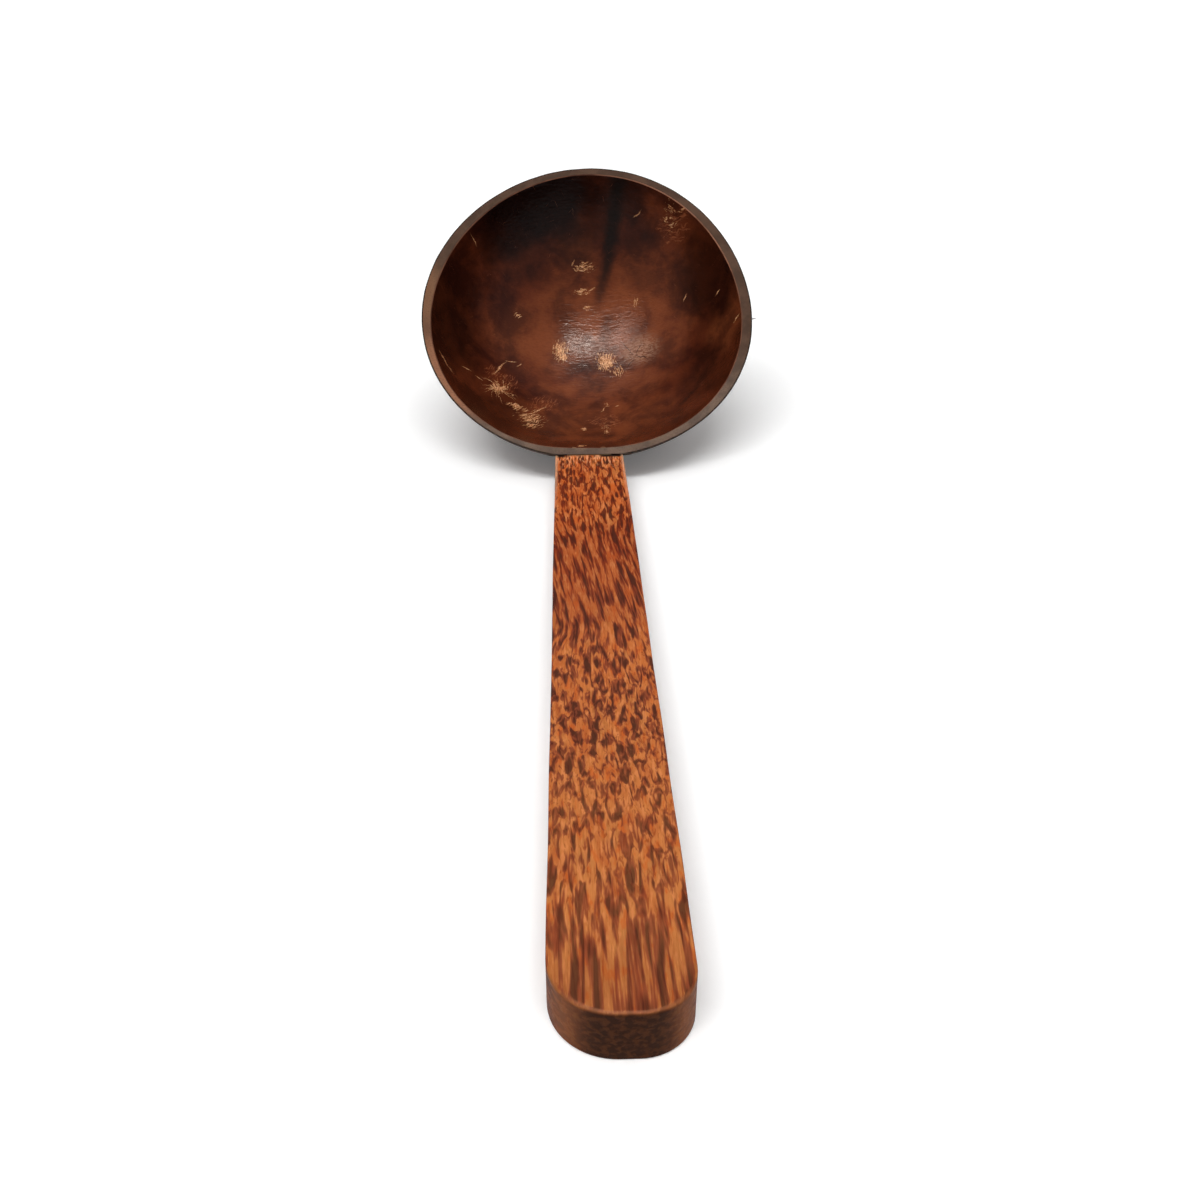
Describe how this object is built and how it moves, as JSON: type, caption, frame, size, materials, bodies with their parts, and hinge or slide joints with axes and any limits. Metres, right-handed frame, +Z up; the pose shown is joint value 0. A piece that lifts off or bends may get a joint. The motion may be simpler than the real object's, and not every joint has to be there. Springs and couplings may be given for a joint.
{
  "type": "rice serving spoon",
  "caption": "Coconut shell serving spoon: a shallow round bowl cut from a nut, tilted up and pinned to a flat tapering palm wood handle, for ladling rice.",
  "frame": {"origin": "middle of the spoon's box in plan, on the table that it lies on", "axes": "+Y along the handle from its butt to the bowl, +X across to the right seen from the butt, +Z up"},
  "size_m": [0.0948, 0.2668, 0.065],
  "materials": {
    "shell": "polished coconut shell, dark brown with pale fibre flecks",
    "palm_wood": "oiled palm wood, orange with dark brown streaks",
    "glue": "dried glue",
    "brass": "worn brass"
  },
  "bodies": {
    "root": {"shell_bowl": "shell", "handle": "palm_wood", "glue_bed": "glue", "left_pin": "brass", "right_pin": "brass"}
  },
  "joints": []
}
